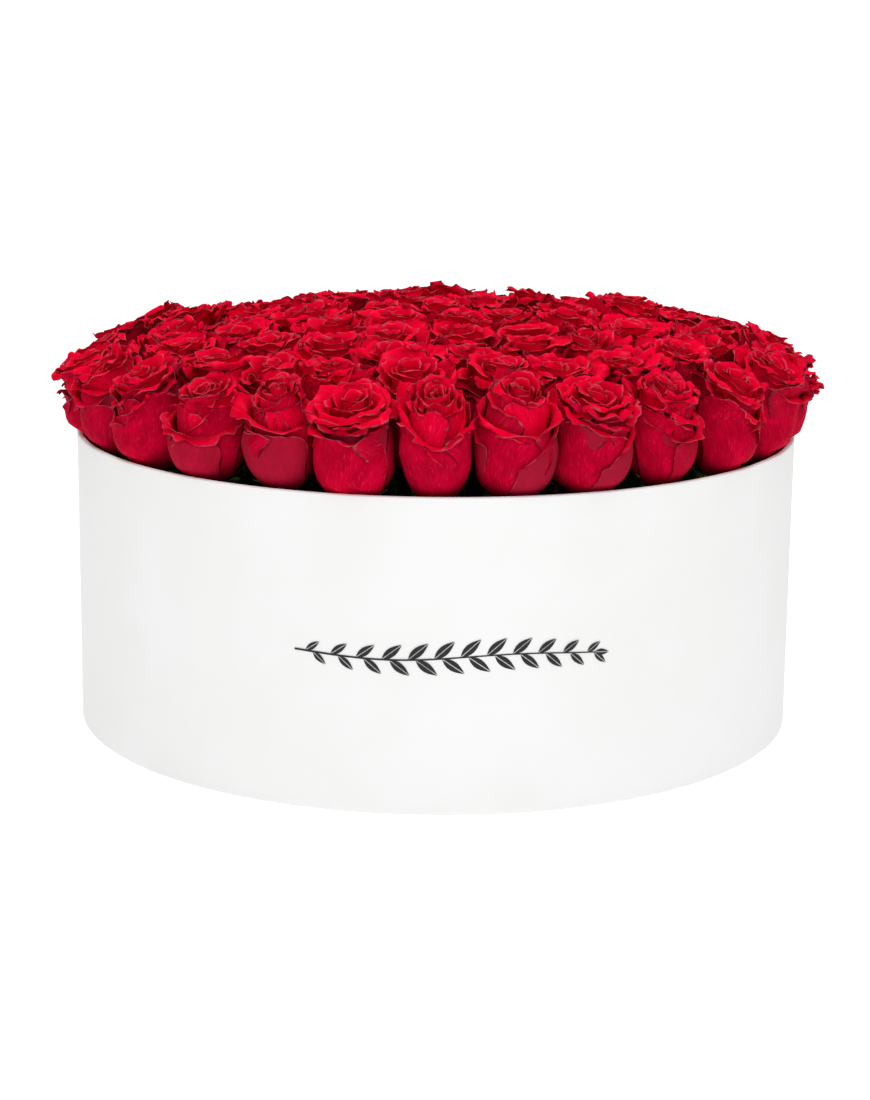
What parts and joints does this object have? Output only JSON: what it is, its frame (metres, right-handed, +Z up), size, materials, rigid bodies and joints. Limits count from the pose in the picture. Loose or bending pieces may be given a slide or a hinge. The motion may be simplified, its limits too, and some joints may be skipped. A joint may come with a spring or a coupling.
{
  "type": "flower box",
  "caption": "Round white paper-covered flower box, filled to above its rim with a low dome of upright red roses in a lift-out foam tray.",
  "frame": {"origin": "centre of the face that the box stands on", "axes": "+Z up through the roses; -Y towards the printed front of the box; +X to the right seen from the front"},
  "size_m": [0.4614, 0.4614, 0.265],
  "materials": {
    "white_paper": "matte, faint tooth",
    "greyboard": "matte recycled solid board with flecks",
    "black_paper": "matte",
    "corrugated_board": "matte kraft board, faint flutes",
    "black_plastic": "satin formed sheet",
    "floral_foam": "matte wet open-cell foam, which weighs as much as the water it holds",
    "rose_petal": "velvety petals, saturated red inside and darker outside, veined",
    "rose_green": "matte green stem and calyx"
  },
  "bodies": {
    "box": {"base_cover": "white_paper", "outer_wrap": "white_paper", "wall_tube": "greyboard", "base_board": "greyboard", "base_lining": "black_paper", "inner_lining": "black_paper", "false_floor_rib_front": "corrugated_board", "false_floor_rib_back": "corrugated_board", "false_floor_rib_left": "corrugated_board", "false_floor_rib_right": "corrugated_board", "false_floor_deck": "corrugated_board"},
    "arrangement": {"liner_tray": "black_plastic", "foam_brick_front_left": "floral_foam", "foam_brick_front_right": "floral_foam", "foam_brick_front_middle_left": "floral_foam", "foam_brick_front_middle_right": "floral_foam", "foam_brick_back_middle_left": "floral_foam", "foam_brick_back_middle_right": "floral_foam", "foam_brick_back_left": "floral_foam", "foam_brick_back_right": "floral_foam", "rose_heads_ring_1": "rose_petal", "rose_heads_ring_2": "rose_petal", "rose_heads_ring_3": "rose_petal", "rose_heads_ring_4": "rose_petal", "rose_heads_ring_5": "rose_petal", "rose_heads_ring_6": "rose_petal", "rose_calyxes_ring_1": "rose_green", "rose_calyxes_ring_2": "rose_green", "rose_calyxes_ring_3": "rose_green", "rose_calyxes_ring_4": "rose_green", "rose_calyxes_ring_5": "rose_green", "rose_calyxes_ring_6": "rose_green", "rose_stems_ring_1": "rose_green", "rose_stems_ring_2": "rose_green", "rose_stems_ring_3": "rose_green", "rose_stems_ring_4": "rose_green", "rose_stems_ring_5": "rose_green", "rose_stems_ring_6": "rose_green"}
  },
  "joints": [
    {"name": "arrangement_lift", "type": "slide", "parent": "box", "child": "arrangement", "axis": [0, 0, 1], "range_m": [0, 0.2]}
  ]
}
